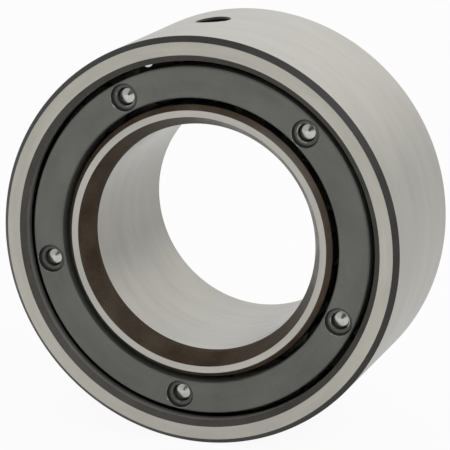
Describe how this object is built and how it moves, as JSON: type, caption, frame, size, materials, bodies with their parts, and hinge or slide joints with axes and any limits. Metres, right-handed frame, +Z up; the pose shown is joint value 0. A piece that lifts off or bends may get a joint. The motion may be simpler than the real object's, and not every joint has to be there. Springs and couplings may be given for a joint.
{
  "type": "cylindrical roller bearing",
  "caption": "Wide cylindrical roller bearing with a ribbed outer ring, a plain inner ring and a riveted two-piece steel cage.",
  "frame": {"origin": "middle of the outer ring's seat, on the bearing's axis", "axes": "+Y along the bearing's axis, towards the end where the inner ring stands out of the outer ring; +Z up as the bearing stands on its rim, with the oil hole near the top"},
  "size_m": [0.16, 0.0808, 0.16],
  "materials": {
    "ring_steel": "ground",
    "cage_steel": "phosphated",
    "rivet_steel": "turned",
    "roller_steel": "lapped"
  },
  "bodies": {
    "outer_ring_assembly": {"outer_ring": "ring_steel"},
    "inner_ring_body": {"inner_ring": "ring_steel"},
    "cage": {"cage_body": "cage_steel", "cage_side_ring": "cage_steel", "rivet_1": "rivet_steel", "rivet_2": "rivet_steel", "rivet_3": "rivet_steel", "rivet_4": "rivet_steel", "rivet_5": "rivet_steel"},
    "roller_01_body": {"roller_01": "roller_steel"},
    "roller_02_body": {"roller_02": "roller_steel"},
    "roller_03_body": {"roller_03": "roller_steel"},
    "roller_04_body": {"roller_04": "roller_steel"},
    "roller_05_body": {"roller_05": "roller_steel"},
    "roller_06_body": {"roller_06": "roller_steel"},
    "roller_07_body": {"roller_07": "roller_steel"},
    "roller_08_body": {"roller_08": "roller_steel"},
    "roller_09_body": {"roller_09": "roller_steel"},
    "roller_10_body": {"roller_10": "roller_steel"},
    "roller_11_body": {"roller_11": "roller_steel"},
    "roller_12_body": {"roller_12": "roller_steel"},
    "roller_13_body": {"roller_13": "roller_steel"},
    "roller_14_body": {"roller_14": "roller_steel"},
    "roller_15_body": {"roller_15": "roller_steel"}
  },
  "joints": [
    {"name": "inner_ring_spin", "type": "hinge", "parent": "outer_ring_assembly", "child": "inner_ring_body", "pos_m": [0, 0, 0], "axis": [0, 1, 0], "continuous": true},
    {"name": "cage_spin", "type": "hinge", "parent": "outer_ring_assembly", "child": "cage", "pos_m": [0, 0, 0], "axis": [0, 1, 0], "continuous": true},
    {"name": "roller_01_spin", "type": "hinge", "parent": "cage", "child": "roller_01_body", "pos_m": [0.03263, 0, 0.05387], "axis": [0, 1, 0], "continuous": true},
    {"name": "roller_02_spin", "type": "hinge", "parent": "cage", "child": "roller_02_body", "pos_m": [0.00789, 0, 0.06248], "axis": [0, 1, 0], "continuous": true},
    {"name": "roller_03_spin", "type": "hinge", "parent": "cage", "child": "roller_03_body", "pos_m": [-0.0182, 0, 0.06029], "axis": [0, 1, 0], "continuous": true},
    {"name": "roller_04_spin", "type": "hinge", "parent": "cage", "child": "roller_04_body", "pos_m": [-0.04115, 0, 0.04768], "axis": [0, 1, 0], "continuous": true},
    {"name": "roller_05_spin", "type": "hinge", "parent": "cage", "child": "roller_05_body", "pos_m": [-0.05699, 0, 0.02682], "axis": [0, 1, 0], "continuous": true},
    {"name": "roller_06_spin", "type": "hinge", "parent": "cage", "child": "roller_06_body", "pos_m": [-0.06297, 0, 0.00132], "axis": [0, 1, 0], "continuous": true},
    {"name": "roller_07_spin", "type": "hinge", "parent": "cage", "child": "roller_07_body", "pos_m": [-0.05806, 0, -0.02441], "axis": [0, 1, 0], "continuous": true},
    {"name": "roller_08_spin", "type": "hinge", "parent": "cage", "child": "roller_08_body", "pos_m": [-0.04311, 0, -0.04591], "axis": [0, 1, 0], "continuous": true},
    {"name": "roller_09_spin", "type": "hinge", "parent": "cage", "child": "roller_09_body", "pos_m": [-0.02071, 0, -0.05948], "axis": [0, 1, 0], "continuous": true},
    {"name": "roller_10_spin", "type": "hinge", "parent": "cage", "child": "roller_10_body", "pos_m": [0.00527, 0, -0.06276], "axis": [0, 1, 0], "continuous": true},
    {"name": "roller_11_spin", "type": "hinge", "parent": "cage", "child": "roller_11_body", "pos_m": [0.03034, 0, -0.05519], "axis": [0, 1, 0], "continuous": true},
    {"name": "roller_12_spin", "type": "hinge", "parent": "cage", "child": "roller_12_body", "pos_m": [0.05017, 0, -0.03808], "axis": [0, 1, 0], "continuous": true},
    {"name": "roller_13_spin", "type": "hinge", "parent": "cage", "child": "roller_13_body", "pos_m": [0.06132, 0, -0.01438], "axis": [0, 1, 0], "continuous": true},
    {"name": "roller_14_spin", "type": "hinge", "parent": "cage", "child": "roller_14_body", "pos_m": [0.06186, 0, 0.0118], "axis": [0, 1, 0], "continuous": true},
    {"name": "roller_15_spin", "type": "hinge", "parent": "cage", "child": "roller_15_body", "pos_m": [0.05172, 0, 0.03594], "axis": [0, 1, 0], "continuous": true}
  ],
  "couplings": [
    {"joint": "cage_spin", "follows": "inner_ring_spin", "ratio": 0.42442},
    {"joint": "roller_01_spin", "follows": "inner_ring_spin", "ratio": -3.2322},
    {"joint": "roller_02_spin", "follows": "inner_ring_spin", "ratio": -3.2322},
    {"joint": "roller_03_spin", "follows": "inner_ring_spin", "ratio": -3.2322},
    {"joint": "roller_04_spin", "follows": "inner_ring_spin", "ratio": -3.2322},
    {"joint": "roller_05_spin", "follows": "inner_ring_spin", "ratio": -3.2322},
    {"joint": "roller_06_spin", "follows": "inner_ring_spin", "ratio": -3.2322},
    {"joint": "roller_07_spin", "follows": "inner_ring_spin", "ratio": -3.2322},
    {"joint": "roller_08_spin", "follows": "inner_ring_spin", "ratio": -3.2322},
    {"joint": "roller_09_spin", "follows": "inner_ring_spin", "ratio": -3.2322},
    {"joint": "roller_10_spin", "follows": "inner_ring_spin", "ratio": -3.2322},
    {"joint": "roller_11_spin", "follows": "inner_ring_spin", "ratio": -3.2322},
    {"joint": "roller_12_spin", "follows": "inner_ring_spin", "ratio": -3.2322},
    {"joint": "roller_13_spin", "follows": "inner_ring_spin", "ratio": -3.2322},
    {"joint": "roller_14_spin", "follows": "inner_ring_spin", "ratio": -3.2322},
    {"joint": "roller_15_spin", "follows": "inner_ring_spin", "ratio": -3.2322}
  ]
}
